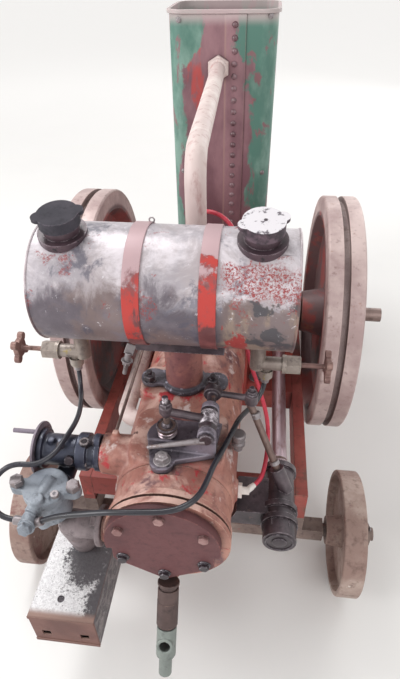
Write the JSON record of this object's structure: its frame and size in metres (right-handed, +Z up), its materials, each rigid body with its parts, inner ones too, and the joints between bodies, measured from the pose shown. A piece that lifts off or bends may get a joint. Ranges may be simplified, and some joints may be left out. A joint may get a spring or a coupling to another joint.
{
  "type": "stationary engine",
  "caption": "Small horizontal water-cooled engine with two flywheels, a strapped fuel tank and an open cooling tank, on a four-wheeled iron trolley.",
  "frame": {"origin": "on the ground under the middle of the machine's box, on the cylinder's centre plane", "axes": "+X to the right seen from the cylinder head, along the crankshaft; +Y away from the head towards the cooling tank; +Z up"},
  "size_m": [0.756, 1.2772, 0.892],
  "materials": {
    "red_paint": "worn red paint over rust",
    "rusty_casting": "rust with traces of red paint",
    "dark_oily": "dark, oily",
    "cover_brown": "old brown-red paint",
    "tank_grey": "worn grey sheet with red traces",
    "steel": "dull, oily steel",
    "wheel_iron": "rusty iron",
    "flywheel_rim": "rusty iron with worn red paint",
    "cooler_green": "green paint over rust",
    "grey_alloy": "dull cast alloy",
    "bronze": "dull bronze",
    "hose_black": "black rubber",
    "lead_red": "red rubber",
    "ceramic": "white glazed ceramic",
    "soot": "sooty rusty sheet",
    "pipe_paint": "faded red-brown paint"
  },
  "bodies": {
    "engine": {"crankcase": "red_paint", "gear_case": "red_paint", "cylinder_barrel": "rusty_casting", "cylinder_head": "rusty_casting", "head_cover": "cover_brown", "tank_post": "rusty_casting", "tank_cradle": "dark_oily", "fuel_tank_shell": "tank_grey", "fuel_tank_ends": "tank_grey", "tank_straps": "red_paint", "filler_necks": "dark_oily", "fuel_valves": "bronze", "carburettor": "dark_oily", "float_chamber": "grey_alloy", "exhaust_elbow": "soot", "silencer": "soot", "rocker_bracket": "dark_oily", "valve_spring": "steel", "cam_housing": "dark_oily", "housing_cap": "dark_oily", "spark_plug": "ceramic", "magneto": "dark_oily", "water_riser": "pipe_paint", "water_return": "pipe_paint", "trolley_rails": "red_paint", "cross_members": "red_paint", "axles": "wheel_iron", "cooling_tank_shell": "cooler_green", "cooling_tank_bottom": "cooler_green", "drain_pipe": "rusty_casting", "drain_cock": "grey_alloy", "fuel_hose_left": "hose_black", "fuel_hose_right": "hose_black", "ignition_lead": "lead_red", "governor_rod": "steel"},
    "crank": {"crankshaft": "steel", "flywheel_left": "flywheel_rim", "flywheel_right": "flywheel_rim"},
    "side_shaft": {"side_shaft": "steel"},
    "rocker": {"rocker": "dark_oily"},
    "valve": {"valve_stem": "steel"},
    "push_rod": {"push_rod": "steel"},
    "cap_left": {"filler_cap_left": "dark_oily"},
    "cap_right": {"filler_cap_right": "dark_oily"},
    "tap_left": {"valve_handwheel_left": "bronze"},
    "tap_right": {"valve_handwheel_right": "bronze"},
    "shutter": {"air_shutter": "dark_oily"},
    "wheel_front_left": {"wheel_front_left": "wheel_iron"},
    "wheel_front_right": {"wheel_front_right": "wheel_iron"},
    "wheel_rear_left": {"wheel_rear_left": "wheel_iron"},
    "wheel_rear_right": {"wheel_rear_right": "wheel_iron"}
  },
  "joints": [
    {"name": "crank_turn", "type": "hinge", "parent": "engine", "child": "crank", "pos_m": [0, 0.04, 0.352], "axis": [1, 0, 0], "continuous": true},
    {"name": "side_shaft_turn", "type": "hinge", "parent": "engine", "child": "side_shaft", "pos_m": [0.159, -0.26, 0.312], "axis": [0, -1, 0], "continuous": true},
    {"name": "rocker_swing", "type": "hinge", "parent": "engine", "child": "rocker", "pos_m": [0.048, -0.433, 0.48], "axis": [0, -1, 0], "range_deg": [0, 7], "stiffness_Nm_per_rad": 20, "springref_deg": -2.86},
    {"name": "valve_lift", "type": "slide", "parent": "engine", "child": "valve", "axis": [0, 0, -1], "range_m": [0, 0.0075], "deforming": ["valve_spring"]},
    {"name": "push_rod_lift", "type": "slide", "parent": "engine", "child": "push_rod", "axis": [-0.4071, 0.3392, 0.8481], "range_m": [0, 0.0085]},
    {"name": "cap_left_lift", "type": "slide", "parent": "engine", "child": "cap_left", "axis": [0, -0.2079, 0.9781], "range_m": [0, 0.04]},
    {"name": "cap_right_lift", "type": "slide", "parent": "engine", "child": "cap_right", "axis": [0, -0.2079, 0.9781], "range_m": [0, 0.04]},
    {"name": "tap_left_turn", "type": "hinge", "parent": "engine", "child": "tap_left", "pos_m": [-0.2, -0.312, 0.491], "axis": [1, 0, 0], "range_deg": [0, 900]},
    {"name": "tap_right_turn", "type": "hinge", "parent": "engine", "child": "tap_right", "pos_m": [0.14, -0.312, 0.491], "axis": [1, 0, 0], "range_deg": [0, 900]},
    {"name": "shutter_turn", "type": "hinge", "parent": "engine", "child": "shutter", "pos_m": [-0.209, -0.437, 0.397], "axis": [1, 0, 0], "range_deg": [0, 60]},
    {"name": "wheel_front_left_turn", "type": "hinge", "parent": "engine", "child": "wheel_front_left", "pos_m": [-0.298, -0.35, 0.114], "axis": [1, 0, 0], "continuous": true},
    {"name": "wheel_front_right_turn", "type": "hinge", "parent": "engine", "child": "wheel_front_right", "pos_m": [0.298, -0.35, 0.114], "axis": [1, 0, 0], "continuous": true},
    {"name": "wheel_rear_left_turn", "type": "hinge", "parent": "engine", "child": "wheel_rear_left", "pos_m": [-0.298, 0.43, 0.114], "axis": [1, 0, 0], "continuous": true},
    {"name": "wheel_rear_right_turn", "type": "hinge", "parent": "engine", "child": "wheel_rear_right", "pos_m": [0.298, 0.43, 0.114], "axis": [1, 0, 0], "continuous": true}
  ],
  "couplings": [
    {"joint": "side_shaft_turn", "follows": "crank_turn", "ratio": 0.5},
    {"joint": "valve_lift", "follows": "rocker_swing", "m_per_rad": 0.06},
    {"joint": "push_rod_lift", "follows": "rocker_swing", "m_per_rad": 0.063}
  ]
}
